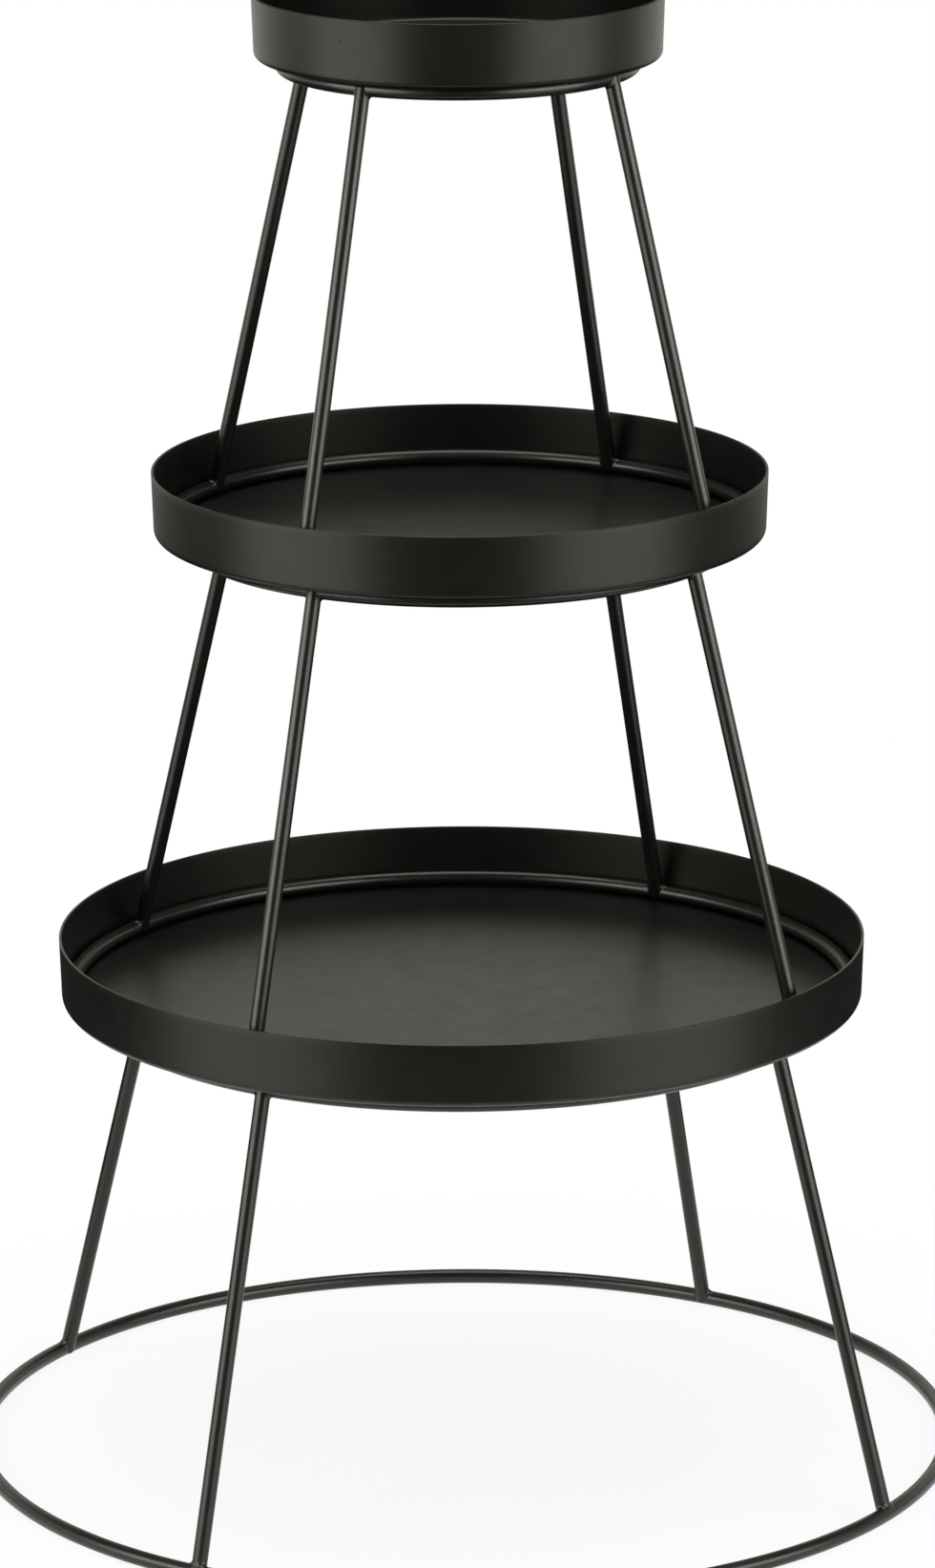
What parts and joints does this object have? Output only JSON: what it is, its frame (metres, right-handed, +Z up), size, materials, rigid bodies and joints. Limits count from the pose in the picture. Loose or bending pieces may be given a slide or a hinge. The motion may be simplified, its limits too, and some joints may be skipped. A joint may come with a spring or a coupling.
{
  "type": "tiered etagere",
  "caption": "Tiered table-top stand of black-coated steel: round pressed trays on cone-shaped wire frames, each upper frame standing inside the rim of the tray below and lifting off.",
  "frame": {"origin": "on the table, under the middle of the base ring", "axes": "+Z up along the stand's axis, -Y to the front, legs on the diagonals between X and Y"},
  "size_m": [0.3959, 0.396, 0.5886],
  "materials": {
    "wire": "satin black powder coat",
    "tray": "satin black powder coat",
    "weld": "satin black powder coat"
  },
  "bodies": {
    "lower_tier": {"base_ring": "wire", "lower_leg_front_left": "wire", "lower_leg_front_right": "wire", "lower_leg_rear_left": "wire", "lower_leg_rear_right": "wire", "lower_support_ring": "wire", "lower_tray": "tray", "lower_foot_welds": "weld", "lower_head_welds": "weld", "lower_tray_tacks": "weld"},
    "middle_tier": {"middle_foot_ring": "wire", "middle_leg_front_left": "wire", "middle_leg_front_right": "wire", "middle_leg_rear_left": "wire", "middle_leg_rear_right": "wire", "middle_support_ring": "wire", "middle_tray": "tray", "middle_foot_welds": "weld", "middle_head_welds": "weld", "middle_tray_tacks": "weld"},
    "top_tier": {"top_foot_ring": "wire", "top_leg_front_left": "wire", "top_leg_front_right": "wire", "top_leg_rear_left": "wire", "top_leg_rear_right": "wire", "top_support_ring": "wire", "top_tray": "tray", "top_foot_welds": "weld", "top_head_welds": "weld", "top_tray_tacks": "weld"}
  },
  "joints": [
    {"name": "middle_tier_lift", "type": "slide", "parent": "lower_tier", "child": "middle_tier", "axis": [0, 0, 1], "range_m": [0, 0.05]},
    {"name": "top_tier_lift", "type": "slide", "parent": "middle_tier", "child": "top_tier", "axis": [0, 0, 1], "range_m": [0, 0.05]}
  ]
}
